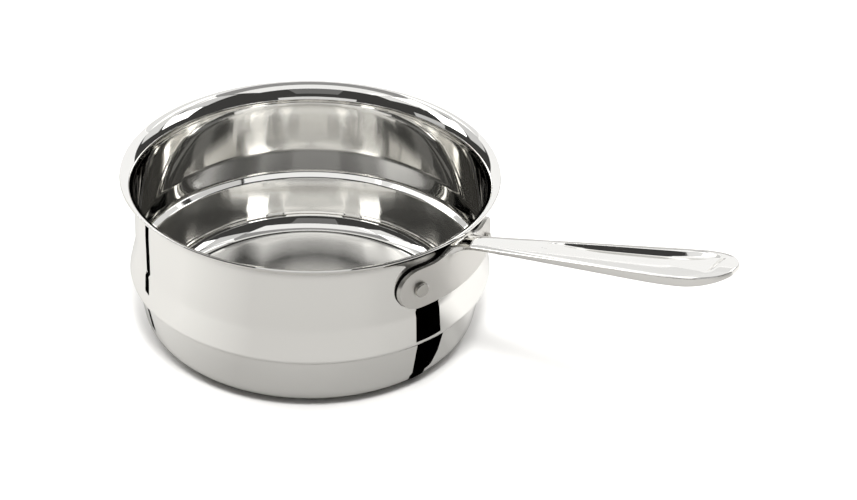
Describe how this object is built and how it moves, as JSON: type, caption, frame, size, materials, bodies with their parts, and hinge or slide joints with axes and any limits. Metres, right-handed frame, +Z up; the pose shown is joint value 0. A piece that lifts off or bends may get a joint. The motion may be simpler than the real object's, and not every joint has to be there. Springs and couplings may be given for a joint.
{
  "type": "steamer insert",
  "caption": "Polished stainless insert for a saucepan: flared round bowl with a resting bead round its wall and a riveted cast stick handle that rises outward.",
  "frame": {"origin": "centre of the flat underside that the bowl stands on", "axes": "+Z up along the bowl's axis, +X along the handle, away from the bowl"},
  "size_m": [0.3722, 0.215, 0.1349],
  "materials": {
    "polished_sheet": "mirror-polished stainless sheet with a satin floor",
    "polished_casting": "polished stainless casting",
    "rivet_steel": "turned stainless, lightly satin"
  },
  "bodies": {
    "root": {"bowl": "polished_sheet", "handle": "polished_casting", "rivet_left": "rivet_steel", "rivet_right": "rivet_steel"}
  },
  "joints": []
}
